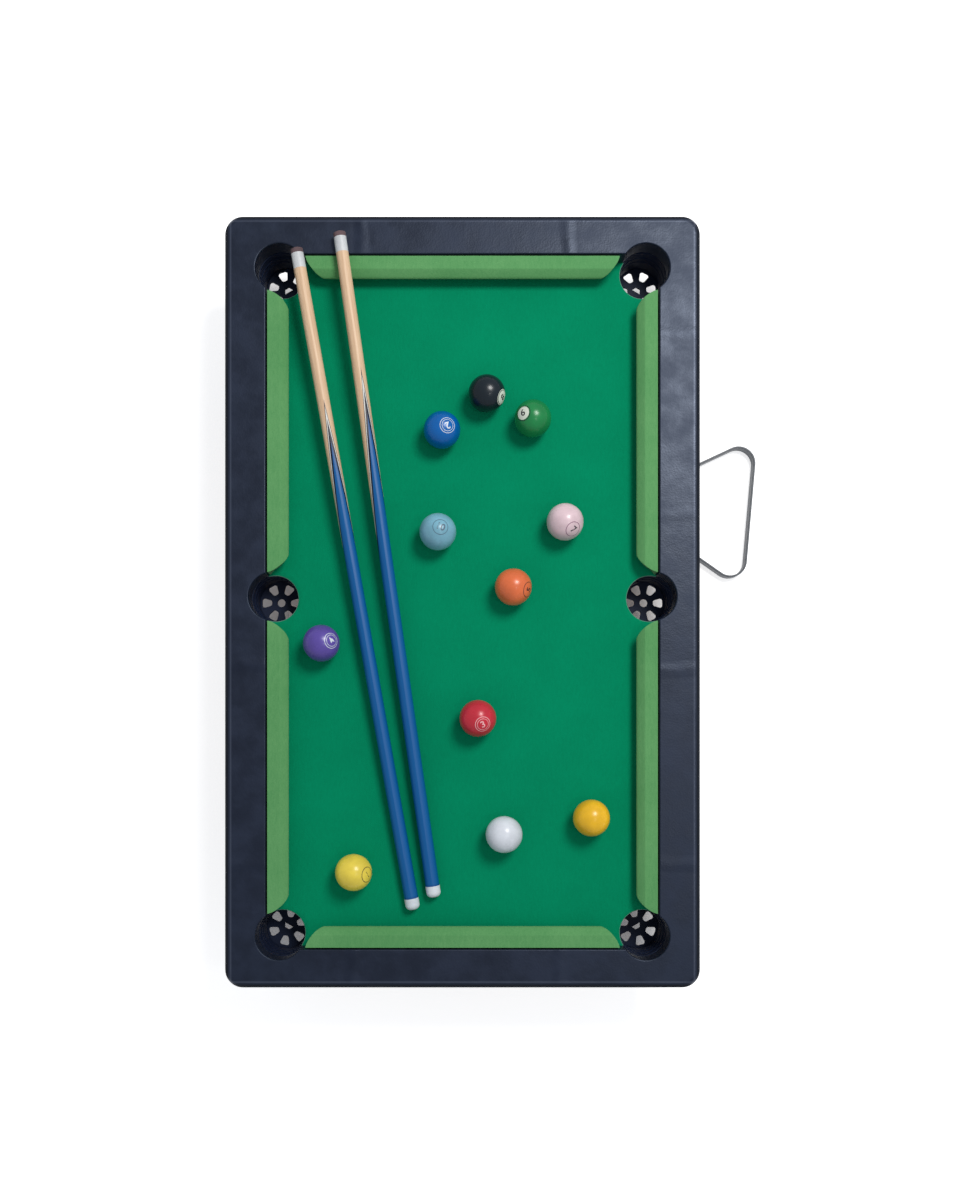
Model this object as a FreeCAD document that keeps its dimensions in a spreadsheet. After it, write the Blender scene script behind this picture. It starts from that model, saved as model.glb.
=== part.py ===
import FreeCAD, Part
import os
import re
import Sketcher

# Table-top pool set, in millimetres. X runs across the table, Y along it, +Z up.
# The origin is the centre of the table's footprint, on the surface it stands on.

os.makedirs("parts", exist_ok=True)
doc = FreeCAD.newDocument("PoolTable")

# ---------------------------------------------------------------- driving dimensions
sheet = doc.addObject("Spreadsheet::Sheet", "Dims")
DIMENSIONS = {
    # heights of the table's layers
    "foot_thick": 3, "apron_foot": 56, "board_foot": 75.5, "board_thick": 6, "cloth_thick": 1,
    "frame_foot": 73, "frame_top": 97,
    # moulded frame
    "table_wide": 317, "table_long": 510, "opening_wide": 256, "opening_long": 452,
    "skirt_draft": 10, "plan_corner": 12, "frame_edge": 4, "frame_lip": 0.8,
    # bed board, cloth and apron
    "board_wide": 304, "board_long": 500, "board_corner": 8, "part_gap": 0.3, "apron_thick": 6,
    "apron_ease": 0.8,
    # pockets
    "pocket_bore": 15.6, "corner_pocket_x": 119.2, "corner_pocket_y": 217.4,
    "side_pocket_x": 123.7, "side_pocket_y": 3.6, "board_bore": 16.8,
    "cup_floor": 58, "cup_wall": 1.5, "cup_low_in": 14.2, "cup_mid_in": 14.7, "cup_top_in": 15.3,
    "cup_out": 16.4, "cup_ledge": 70, "cup_flange": 21.5, "cup_flange_thick": 2, "cup_heel": 2,
    "window_near": 6.4, "window_far": 12.9, "window_near_half": 1.7, "window_far_half": 3.6,
    "window_round": 1.6, "hub_bore": 2.7, "hub_lens_long": 3.2, "hub_lens_short": 1.5,
    "hub_lens_half": 1.5,
    # cushions
    "cushion_gap": 0.9, "cushion_wide": 13.4, "cushion_tall": 13.6, "cushion_flat": 8.2,
    "nose_top": 12, "nose_low": 10.2, "nose_back": 1.1, "undercut": 6.5, "cushion_round": 5,
    "end_back": 102.3, "end_nose": 93.5, "side_back_far": 203, "side_nose_far": 193.6,
    "side_back_near": 15.8, "side_nose_near": 24.7,
    # legs
    "leg_x": 137, "leg_y": 170, "leg_half": 12, "leg_draft": 2.6, "leg_round": 2.5,
    "leg_bore": 2.7, "leg_counterbore": 5.2, "leg_sink": 6, "foot_round": 8.6, "foot_ease": 0.8,
    "block_near": 122,
    # fasteners
    "leg_bolt_head": 4.6, "leg_bolt_head_tall": 3, "leg_bolt_shank": 2.4, "leg_bolt_end": 68,
    "cup_screw_at": 19, "cup_screw_head": 2.1, "cup_screw_head_tall": 1.2,
    "cup_screw_shank": 1.1, "cup_screw_end": 80.5,
    "frame_screw_x": 140, "frame_screw_y": 100, "frame_screw_end_x": 52,
    "frame_screw_end_y": 238, "frame_screw_head": 3, "frame_screw_head_tall": 2,
    "frame_screw_shank": 1.5, "frame_screw_end": 91,
    # balls
    "ball_round": 12, "ball_gap": 0.25,
    # cue sticks, stations measured from the leather tip
    "cue_long": 435.5, "tip_long": 3.4, "ferrule_end": 13.2, "shaft_end": 184,
    "bumper_start": 427.9, "tip_round": 4, "ferrule_round": 4.05, "shaft_round": 4.2,
    "butt_round": 4.6, "bumper_round": 4.75, "tip_crown": 1.2, "bumper_crown": 3.4,
    # triangle rack
    "rack_inradius": 31.3, "rack_wall": 1.4, "rack_tall": 8, "rack_round": 10.8, "rack_ease": 0.4,
    "rack_x": 177.2, "rack_y": 77.6, "rack_turn": -5, "rack_lift": 0.3,
}
for row, (name, value) in enumerate(DIMENSIONS.items(), start=1):
    sheet.set("A%d" % row, name)
    sheet.set("B%d" % row, str(value))
    sheet.setAlias("B%d" % row, name)
doc.recompute()

CLOTH_TOP = "(board_foot + board_thick + cloth_thick)"

# ball name: (x, y) of its centre on the cloth
BALLS = {
    "black": (15.8, 135.9), "blue": (-13.4, 112.1), "green": (45.8, 119.6),
    "light_blue": (-16.1, 45.8), "pink": (66.8, 52.2), "orange": (33.1, 9.8),
    "purple": (-92.0, -26.8), "red": (10.0, -75.8), "white": (27.1, -151.5),
    "amber": (84.0, -140.7), "yellow": (-71.0, -176.2),
}
# cue name: (x, y, z) of the tip, (x, y, z) of the butt end
CUES = {
    "left": ((-107.2, 227.4, 101.5), (-32.26, -201.82, 87.55)),
    "right": ((-79.5, 237.8, 101.9), (-18.61, -193.41, 87.55)),
}


# ---------------------------------------------------------------- helpers
def bind(text):
    """Point every dimension name in a formula at the sheet."""
    return re.sub(
        r"[a-z_]+", lambda word: "Dims." + word[0] if word[0] in DIMENSIONS else word[0], text
    )


def number(text):
    value = sheet.evalExpression(bind(text))
    return float(getattr(value, "Value", value))


def new_body(label):
    body = doc.addObject("PartDesign::Body", label)
    body.Label = label
    return body


def new_sketch(body, plane, height="0"):
    """Sketch on one of the body's own origin planes, moved along its normal."""
    sketch = body.newObject("Sketcher::SketchObject", body.Name + "_sketch")
    roots = [f for f in body.Origin.OriginFeatures if f.Role == plane]
    sketch.AttachmentSupport = (roots[0], [""])
    sketch.MapMode = "FlatFace"
    sketch.setExpression("AttachmentOffset.Base.z", bind(height))
    return sketch


def hold(sketch, kind, line, point, text):
    datum = sketch.addConstraint(Sketcher.Constraint(kind, line, point, number(text)))
    sketch.setExpression("Constraints[%d]" % datum, bind(text))


def polygon(sketch, corners):
    """Closed outline with every corner held at a pair of formulas."""
    first = sketch.GeometryCount
    spots = [FreeCAD.Vector(number(x), number(y), 0) for x, y in corners]
    count = len(spots)
    for index in range(count):
        line = Part.LineSegment(spots[index], spots[(index + 1) % count])
        sketch.addGeometry(line, False)
    for index in range(count):
        following = first + (index + 1) % count
        sketch.addConstraint(Sketcher.Constraint("Coincident", first + index, 2, following, 1))
    for index, (x, y) in enumerate(corners):
        hold(sketch, "DistanceX", first + index, 1, x)
        hold(sketch, "DistanceY", first + index, 1, y)


def rectangle(sketch, wide, long):
    """Rectangle centred on the sketch origin."""
    x = "(%s) / 2" % wide
    y = "(%s) / 2" % long
    polygon(sketch, [("-" + x, "-" + y), (x, "-" + y), (x, y), ("-" + x, y)])


def circles(sketch, centres, radius):
    for x, y in centres:
        centre = FreeCAD.Vector(number(x), number(y), 0)
        ring = Part.Circle(centre, FreeCAD.Vector(0, 0, 1), number(radius))
        line = sketch.addGeometry(ring, False)
        hold(sketch, "DistanceX", line, 3, x)
        hold(sketch, "DistanceY", line, 3, y)
        datum = sketch.addConstraint(Sketcher.Constraint("Radius", line, number(radius)))
        sketch.setExpression("Constraints[%d]" % datum, bind(radius))


def pad(body, sketch, length, taper=None, downwards=False):
    feature = body.newObject("PartDesign::Pad", body.Name + "_pad")
    feature.Profile = sketch
    feature.setExpression("Length", bind(length))
    feature.Reversed = downwards
    if taper:
        feature.setExpression("TaperAngle", bind(taper))
    sketch.Visibility = False
    doc.recompute()
    return feature


def pocket(body, sketch, depth=None, both_ways=False):
    """Cut down from the sketch, right through unless a depth is given."""
    feature = body.newObject("PartDesign::Pocket", body.Name + "_pocket")
    feature.Profile = sketch
    if depth is None:
        feature.Type = 1
    else:
        feature.setExpression("Length", bind(depth))
    feature.Midplane = both_ways
    sketch.Visibility = False
    doc.recompute()
    return feature


def revolve(body, sketch, axis="V_Axis"):
    feature = body.newObject("PartDesign::Revolution", body.Name + "_revolution")
    feature.Profile = sketch
    feature.ReferenceAxis = (sketch, [axis])
    feature.Angle = 360
    sketch.Visibility = False
    doc.recompute()
    return feature


def round_edges(body, radius, chosen):
    """Fillet every edge of the body's tip for which chosen(edge) is true."""
    base = body.Tip
    names = ["Edge%d" % (i + 1) for i, edge in enumerate(base.Shape.Edges) if chosen(edge)]
    feature = body.newObject("PartDesign::Fillet", body.Name + "_fillet")
    feature.Base = (base, names)
    feature.setExpression("Radius", bind(radius))
    doc.recompute()
    return feature


def polar(body, feature, count):
    """Repeat a feature round the body's own Z axis."""
    pattern = body.newObject("PartDesign::PolarPattern", body.Name + "_pattern")
    pattern.Originals = [feature]
    axis = [f for f in body.Origin.OriginFeatures if f.Role == "Z_Axis"][0]
    pattern.Axis = (axis, [""])
    pattern.Angle = 360
    body.Tip = pattern
    pattern.Occurrences = count
    doc.recompute()
    return pattern


def rises(edge):
    """True for an edge that runs mostly upwards."""
    ends = edge.Vertexes
    if len(ends) < 2:
        return False
    run = ends[1].Point.sub(ends[0].Point)
    return abs(run.z) > 0.7 * run.Length


def level(edge, height):
    """True for an edge that lies in the plane z = height."""
    box = edge.BoundBox
    return abs(box.ZMin - height) < 0.01 and abs(box.ZMax - height) < 0.01


def move(item, x="0", y="0", z="0", turn="0"):
    item.setExpression("Placement.Base.x", bind(x))
    item.setExpression("Placement.Base.y", bind(y))
    item.setExpression("Placement.Base.z", bind(z))
    item.Placement.Rotation = FreeCAD.Rotation(FreeCAD.Vector(0, 0, 1), number(turn))


def fastener(name, spot, head_foot, head, head_tall, shank, shank_end):
    """Round head below, plain shank above, standing at spot."""
    head_top = "(%s + %s)" % (head_foot, head_tall)
    drum = doc.addObject("Part::Cylinder", name + "_head")
    drum.setExpression("Radius", bind(head))
    drum.setExpression("Height", bind(head_tall))
    move(drum, spot[0], spot[1], head_foot)
    stem = doc.addObject("Part::Cylinder", name + "_shank")
    stem.setExpression("Radius", bind(shank))
    stem.setExpression("Height", bind(shank_end + " - " + head_top))
    move(stem, spot[0], spot[1], head_top)
    whole = doc.addObject("Part::MultiFuse", name)
    whole.Shapes = [drum, stem]
    return whole


def group(label, members):
    bundle = doc.addObject("Part::Compound", label)
    bundle.Label = label
    bundle.Links = members
    return bundle


nodes = []

# pocket name: (x, y, yaw of its outward side, further yaw of its windows, is it a corner)
POCKETS = {
    "corner_far_right": ("corner_pocket_x", "corner_pocket_y", "60", 4, True),
    "corner_far_left": ("-corner_pocket_x", "corner_pocket_y", "120", -12, True),
    "corner_near_left": ("-corner_pocket_x", "-corner_pocket_y", "240", 18, True),
    "corner_near_right": ("corner_pocket_x", "-corner_pocket_y", "300", -18, True),
    "side_right": ("side_pocket_x", "side_pocket_y", "0", 0, False),
    "side_left": ("-side_pocket_x", "side_pocket_y", "180", 0, False),
}
POCKET_CENTRES = [pocket_place[:2] for pocket_place in POCKETS.values()]
# the three screws that hold each cup's flange
CUP_SCREWS = [
    (name, index + 1, ("%s + cup_screw_at * cos((%s + %d) * 1 deg)" % (x, turn, 120 * index),
                       "%s + cup_screw_at * sin((%s + %d) * 1 deg)" % (y, turn, 120 * index)))
    for name, (x, y, turn, swing, corner) in POCKETS.items() for index in range(3)
]
FRAME_SCREWS = [
    (across + "frame_screw_x", along + "frame_screw_y") for across in ("", "-") for along in ("", "-")
] + [
    (across + "frame_screw_end_x", along + "frame_screw_end_y")
    for across in ("", "-") for along in ("", "-")
]
LEG_SPOTS = {
    "far_right": ("leg_x", "leg_y"), "far_left": ("-leg_x", "leg_y"),
    "near_left": ("-leg_x", "-leg_y"), "near_right": ("leg_x", "-leg_y"),
}


# ---------------------------------------------------------------- table top
def make_frame():
    """One moulded ring: drafted skirt, rounded rim, rebate under it for the bed."""
    body = new_body("rail_frame")
    outline = new_sketch(body, "XY_Plane", "frame_foot")
    rectangle(outline, "table_wide", "table_long")
    pad(body, outline, "frame_top - frame_foot", taper="-skirt_draft")
    round_edges(body, "plan_corner", rises)
    top = number("frame_top")
    round_edges(body, "frame_edge", lambda edge: level(edge, top))
    opening = new_sketch(body, "XY_Plane", "frame_top")
    rectangle(opening, "opening_wide", "opening_long")
    pocket(body, opening)
    bores = new_sketch(body, "XY_Plane", "frame_top")
    circles(bores, POCKET_CENTRES, "pocket_bore")
    pocket(body, bores)
    rebate = new_sketch(body, "XY_Plane", CLOTH_TOP)
    rectangle(rebate, "board_wide + 2 * part_gap", "board_long + 2 * part_gap")
    pocket(body, rebate)
    reach = number("opening_long") / 2 + number("pocket_bore")

    def inner_rim(edge):
        box = edge.BoundBox
        return level(edge, top) and max(abs(box.YMin), abs(box.YMax)) < reach and inside(box)

    def inside(box):
        return max(abs(box.XMin), abs(box.XMax)) < number("side_pocket_x + pocket_bore + 1")

    round_edges(body, "frame_lip", inner_rim)
    holes = new_sketch(body, "XY_Plane", "frame_screw_end")
    circles(holes, FRAME_SCREWS, "frame_screw_shank + 0.1")
    pocket(body, holes)
    return body


def make_bed():
    board = new_body("bed_board")
    outline = new_sketch(board, "XY_Plane", "board_foot")
    rectangle(outline, "board_wide", "board_long")
    pad(board, outline, "board_thick")
    round_edges(board, "board_corner", rises)
    bores = new_sketch(board, "XY_Plane", "board_foot + board_thick")
    circles(bores, POCKET_CENTRES, "board_bore")
    circles(bores, FRAME_SCREWS, "frame_screw_shank + 0.1")
    pocket(board, bores)
    pilots = new_sketch(board, "XY_Plane", "cup_screw_end + 0.3")
    circles(pilots, [spot for name, index, spot in CUP_SCREWS], "cup_screw_shank + 0.1")
    pocket(board, pilots)
    cloth = new_body("bed_cloth")
    outline = new_sketch(cloth, "XY_Plane", "board_foot + board_thick")
    rectangle(outline, "board_wide - 2 * part_gap", "board_long - 2 * part_gap")
    pad(cloth, outline, "cloth_thick")
    round_edges(cloth, "board_corner", rises)
    bores = new_sketch(cloth, "XY_Plane", CLOTH_TOP)
    circles(bores, POCKET_CENTRES, "pocket_bore")
    circles(bores, FRAME_SCREWS, "frame_screw_shank + 0.1")
    pocket(cloth, bores)
    return [board, cloth]


def make_cushion(label, back, nose, x, y, turn):
    """Wedge cushion: local X along its length, local Y from its back to its nose."""
    body = new_body(label)
    plan = new_sketch(body, "XY_Plane")
    polygon(plan, [(back[0], "0"), (back[1], "0"), (nose[1], "cushion_wide"),
                   (nose[0], "cushion_wide")])
    pad(body, plan, "cushion_tall")
    front = number("cushion_wide")
    round_edges(body, "cushion_round",
                lambda edge: rises(edge) and edge.BoundBox.YMin > front - 0.1)
    # the sloped top and the undercut below the nose, cut right along the cushion
    for outline in (
        [("cushion_flat", "cushion_tall"), ("cushion_wide + 1", "cushion_tall"),
         ("cushion_wide + 1", "nose_low"), ("cushion_wide", "nose_low"),
         ("cushion_wide", "nose_top - nose_back / 2"), ("cushion_wide - nose_back", "nose_top")],
        [("undercut", "0"), ("cushion_wide + 1", "0"), ("cushion_wide + 1", "nose_low"),
         ("cushion_wide", "nose_low")],
    ):
        section = new_sketch(body, "YZ_Plane")
        polygon(section, outline)
        pocket(body, section, "table_long * 2", both_ways=True)
    move(body, x, y, CLOTH_TOP, turn)
    return body


def make_cushions():
    back_x = "opening_wide / 2 - cushion_gap"
    back_y = "opening_long / 2 - cushion_gap"
    far = ("side_pocket_y + side_back_near", "side_back_far")
    far_nose = ("side_pocket_y + side_nose_near", "side_nose_far")
    near = ("-side_back_far", "side_pocket_y - side_back_near")
    near_nose = ("-side_nose_far", "side_pocket_y - side_nose_near")

    def flipped(pair):
        return ("-(%s)" % pair[1], "-(%s)" % pair[0])

    ends = (("-end_back", "end_back"), ("-end_nose", "end_nose"))
    return [
        make_cushion("cushion_end_far", *ends, "0", back_y, "180"),
        make_cushion("cushion_end_near", *ends, "0", "-(%s)" % back_y, "0"),
        make_cushion("cushion_right_far", far, far_nose, back_x, "0", "90"),
        make_cushion("cushion_right_near", near, near_nose, back_x, "0", "90"),
        make_cushion("cushion_left_far", flipped(far), flipped(far_nose),
                     "-(%s)" % back_x, "0", "-90"),
        make_cushion("cushion_left_near", flipped(near), flipped(near_nose),
                     "-(%s)" % back_x, "0", "-90"),
    ]


# ---------------------------------------------------------------- pockets
def make_cup(label, x, y, turn, swing, corner):
    """Open cup with a screw flange, a stepped wall and a windowed floor."""
    body = new_body(label)
    wall = new_sketch(body, "XZ_Plane")
    polygon(wall, [
        ("0", "cup_floor - cup_wall"), ("cup_low_in + cup_wall - 0.4", "cup_floor - cup_wall"),
        ("cup_out - 0.3", "board_foot - cup_flange_thick"),
        ("cup_flange", "board_foot - cup_flange_thick"), ("cup_flange", "board_foot"),
        ("cup_out", "board_foot"), ("cup_out", "board_foot + board_thick - part_gap"),
        ("cup_top_in", "board_foot + board_thick - part_gap"),
        ("cup_top_in - 0.1", "cup_ledge + 5"), ("cup_mid_in + 0.1", "cup_ledge + 4.4"),
        ("cup_mid_in", "cup_ledge"), ("cup_low_in + 0.2", "cup_ledge - 0.6"),
        ("cup_low_in", "cup_floor"), ("0", "cup_floor"),
    ])
    revolve(body, wall)
    low = number("cup_floor - cup_wall")
    round_edges(body, "cup_heel / 2", lambda edge: level(edge, low) and edge.Length > 20)
    window = new_sketch(body, "XY_Plane", "cup_floor")
    corners = [("window_near", "-window_near_half"), ("window_far", "-window_far_half"),
               ("window_far", "window_far_half"), ("window_near", "window_near_half")]
    polygon(window, corners)
    yaw = window.AttachmentOffset
    yaw.Rotation = FreeCAD.Rotation(FreeCAD.Vector(0, 0, 1), swing)
    window.AttachmentOffset = yaw
    polar(body, pocket(body, window, "2 * cup_wall"), 6)
    far = number("window_far") + 0.6
    floor_middle = number("cup_floor - cup_wall / 2")

    def window_corner(edge):
        spot = edge.BoundBox.Center
        return rises(edge) and spot.z < floor_middle + 0.4 and spot.x ** 2 + spot.y ** 2 < far ** 2

    round_edges(body, "window_round", window_corner)
    hub = new_sketch(body, "XY_Plane", "cup_floor")
    if corner:
        polygon(hub, [("-hub_lens_half", "-hub_lens_long"), ("hub_lens_half", "-hub_lens_short"),
                      ("hub_lens_half", "hub_lens_short"), ("-hub_lens_half", "hub_lens_long")])
    else:
        circles(hub, [("0", "0")], "hub_bore")
    pocket(body, hub, "2 * cup_wall")
    holes = new_sketch(body, "XY_Plane", "board_foot")
    circles(holes, [("cup_screw_at", "0")], "cup_screw_shank + 0.1")
    polar(body, pocket(body, holes, "2 * cup_flange_thick"), 3)
    move(body, x, y, "0", turn)
    return body


def make_cup_screws():
    return group("cup_screws", [
        fastener("cup_screw_%s_%d" % (name, index), spot,
                 "(board_foot - cup_flange_thick - cup_screw_head_tall)", "cup_screw_head",
                 "cup_screw_head_tall", "cup_screw_shank", "cup_screw_end")
        for name, index, spot in CUP_SCREWS
    ])


# ---------------------------------------------------------------- underframe
def make_aprons():
    """Two long boards with the two short ones fitted between them."""
    boards = []
    tall = "board_foot - apron_foot"
    sides = (("apron_right", "1", True), ("apron_left", "-1", True),
             ("apron_far", "1", False), ("apron_near", "-1", False))
    for label, side, long_way in sides:
        body = new_body(label)
        outline = new_sketch(body, "XY_Plane", "apron_foot")
        if long_way:
            rectangle(outline, "apron_thick", "board_long")
            spot = ("%s * (board_wide - apron_thick) / 2" % side, "0")
        else:
            rectangle(outline, "board_wide - 2 * apron_thick", "apron_thick")
            spot = ("0", "%s * (board_long - apron_thick) / 2" % side)
        pad(body, outline, tall)
        foot = number("apron_foot")
        round_edges(body, "apron_ease",
                    lambda edge: level(edge, foot) and edge.Length > 100)
        move(body, *spot)
        boards.append(body)
    return boards


def make_leg(name, x, y):
    """Tapered post with a counterbored hole for its bolt, its block and its foot."""
    leg = new_body("leg_" + name)
    outline = new_sketch(leg, "XY_Plane", "apron_foot")
    rectangle(outline, "2 * leg_half", "2 * leg_half")
    pad(leg, outline, "apron_foot - foot_thick", taper="-leg_draft", downwards=True)
    round_edges(leg, "leg_round", rises)
    bore = new_sketch(leg, "XY_Plane", "apron_foot")
    circles(bore, [("0", "0")], "leg_bore")
    pocket(leg, bore)
    sink = new_sketch(leg, "XY_Plane", "foot_thick + leg_sink")
    circles(sink, [("0", "0")], "leg_counterbore")
    pocket(leg, sink)
    move(leg, x, y)

    side = -1 if x.startswith("-") else 1
    block = new_body("leg_block_" + name)
    near = "%d * (block_near - leg_x)" % side
    far = "%d * (board_wide / 2 - apron_thick - leg_x)" % side
    outline = new_sketch(block, "XY_Plane", "apron_foot")
    polygon(outline, [(near, "-leg_half"), (far, "-leg_half"), (far, "leg_half"),
                      (near, "leg_half")])
    pad(block, outline, "board_foot - apron_foot")
    bore = new_sketch(block, "XY_Plane", "leg_bolt_end + 1")
    circles(bore, [("0", "0")], "leg_bolt_shank + 0.1")
    pocket(block, bore)
    move(block, x, y)

    foot = new_body("foot_pad_" + name)
    outline = new_sketch(foot, "XY_Plane", "0")
    circles(outline, [("0", "0")], "foot_round")
    pad(foot, outline, "foot_thick")
    round_edges(foot, "foot_ease", lambda edge: level(edge, 0))
    move(foot, x, y)
    return [leg, block, foot]


def make_underframe():
    parts = make_aprons()
    bolts = []
    for name, (x, y) in LEG_SPOTS.items():
        parts += make_leg(name, x, y)
        bolts.append(fastener(
            "leg_bolt_" + name, (x, y), "(foot_thick + leg_sink - leg_bolt_head_tall)",
            "leg_bolt_head", "leg_bolt_head_tall", "leg_bolt_shank", "leg_bolt_end"))
    parts.append(group("leg_bolts", bolts))
    screws = [
        fastener("frame_screw_%d" % (index + 1), spot, "(board_foot - frame_screw_head_tall)",
                 "frame_screw_head", "frame_screw_head_tall", "frame_screw_shank",
                 "frame_screw_end - 0.5")
        for index, spot in enumerate(FRAME_SCREWS)
    ]
    parts.append(group("frame_screws", screws))
    return parts


# ---------------------------------------------------------------- loose pieces
def make_cue(name, tip, butt):
    """Five pieces turned on one axis, running along local X from the tip."""
    pieces = {
        "tip": [("0", "0"), ("0", "tip_round - tip_crown"), ("tip_crown / 2", "tip_round"),
                ("tip_long", "tip_round"), ("tip_long", "0")],
        "ferrule": [("tip_long", "0"), ("tip_long", "tip_round"),
                    ("ferrule_end", "ferrule_round"), ("ferrule_end", "0")],
        "shaft": [("ferrule_end", "0"), ("ferrule_end", "ferrule_round"),
                  ("shaft_end", "shaft_round"), ("shaft_end", "0")],
        "butt": [("shaft_end", "0"), ("shaft_end", "shaft_round"),
                 ("bumper_start", "butt_round"), ("bumper_start", "0")],
        "bumper": [("bumper_start", "0"), ("bumper_start", "bumper_round"),
                   ("cue_long", "bumper_round"), ("cue_long", "0")],
    }
    start = FreeCAD.Vector(*tip)
    along = FreeCAD.Vector(*butt).sub(start)
    swing = FreeCAD.Rotation(FreeCAD.Vector(1, 0, 0), along)
    made = []
    for piece, outline in pieces.items():
        body = new_body("cue_%s_%s" % (name, piece))
        section = new_sketch(body, "XZ_Plane")
        polygon(section, outline)
        revolve(body, section, "H_Axis")
        if piece == "bumper":
            last = number("cue_long") - 0.1
            round_edges(body, "bumper_crown", lambda edge: edge.BoundBox.XMin > last)
        body.Placement = FreeCAD.Placement(start, swing)
        made.append(body)
    return made


def make_ball(name, x, y):
    ball = doc.addObject("Part::Sphere", "ball_" + name)
    ball.Label = "ball_" + name
    ball.setExpression("Radius", bind("ball_round"))
    move(ball, str(x), str(y), CLOTH_TOP + " + ball_round + ball_gap")
    return ball


def make_rack():
    """Hollow triangle, one side facing +X, one corner pointing to -X."""
    def prism(label, inradius, corner):
        body = new_body(label)
        sketch = new_sketch(body, "XY_Plane")
        half = "sqrt(3) * (%s)" % inradius
        polygon(sketch, [(inradius, "-" + half), (inradius, half), ("-2 * (%s)" % inradius, "0")])
        pad(body, sketch, "rack_tall")
        round_edges(body, corner, rises)
        return body

    hoop = doc.addObject("Part::Cut", "rack_hoop")
    hoop.Base = prism("rack_outside", "rack_inradius + rack_wall", "rack_round + rack_wall")
    hoop.Tool = prism("rack_inside", "rack_inradius", "rack_round")
    doc.recompute()
    top = number("rack_tall")
    rack = doc.addObject("Part::Fillet", "triangle_rack")
    rack.Label = "triangle_rack"
    rack.Base = hoop
    ease = number("rack_ease")
    rack.Edges = [(i + 1, ease, ease) for i, edge in enumerate(hoop.Shape.Edges)
                  if level(edge, top)]
    move(rack, "rack_x", "rack_y", "rack_lift", "rack_turn")
    return rack


nodes.append(make_frame())
nodes += make_bed()
nodes += make_cushions()
for name, place in POCKETS.items():
    nodes.append(make_cup("pocket_cup_" + name, *place))
nodes.append(make_cup_screws())
nodes += make_underframe()
for name, (tip, butt) in CUES.items():
    nodes += make_cue(name, tip, butt)
for name, (x, y) in BALLS.items():
    nodes.append(make_ball(name, x, y))
nodes.append(make_rack())
doc.recompute()

# ---------------------------------------------------------------- checks and export
for item in doc.Objects:
    if "Invalid" in item.State or "Error" in item.State:
        raise RuntimeError("%s is not valid: %s" % (item.Name, item.State))
for node in nodes:
    if node.Shape.isNull() or not node.Shape.isValid():
        raise RuntimeError("%s has no valid shape" % node.Label)
for node in nodes:
    node.Shape.exportStep("parts/%s.step" % node.Label)
    print(node.Label, len(node.Shape.Solids), round(node.Shape.Volume, 1))
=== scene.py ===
import math
import bmesh
import bpy
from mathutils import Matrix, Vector, noise


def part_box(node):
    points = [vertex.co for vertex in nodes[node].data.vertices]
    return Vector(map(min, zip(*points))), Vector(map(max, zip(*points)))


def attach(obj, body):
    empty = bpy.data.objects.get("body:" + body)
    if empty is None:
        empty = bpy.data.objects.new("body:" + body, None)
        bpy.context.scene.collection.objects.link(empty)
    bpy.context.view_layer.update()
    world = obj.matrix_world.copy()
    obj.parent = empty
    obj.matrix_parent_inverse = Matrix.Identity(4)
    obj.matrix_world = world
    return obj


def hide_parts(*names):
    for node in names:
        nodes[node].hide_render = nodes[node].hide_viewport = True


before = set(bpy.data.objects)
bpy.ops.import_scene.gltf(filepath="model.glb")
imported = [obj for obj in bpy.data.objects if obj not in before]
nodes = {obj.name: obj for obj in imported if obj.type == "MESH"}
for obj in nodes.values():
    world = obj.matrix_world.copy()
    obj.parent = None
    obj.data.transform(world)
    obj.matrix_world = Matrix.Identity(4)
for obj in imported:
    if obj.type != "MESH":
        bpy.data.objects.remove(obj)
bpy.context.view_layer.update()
mm = 0.001
print("frame loaded:", len(nodes), "nodes")


def tint(red, green, blue):
    # screen colour, 0 to 255, as the linear colour that shaders use
    return tuple((v / 255 / 12.92) if v < 10.3 else ((v / 255 + 0.055) / 1.055) ** 2.4
                 for v in (red, green, blue)) + (1.0,)


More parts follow.
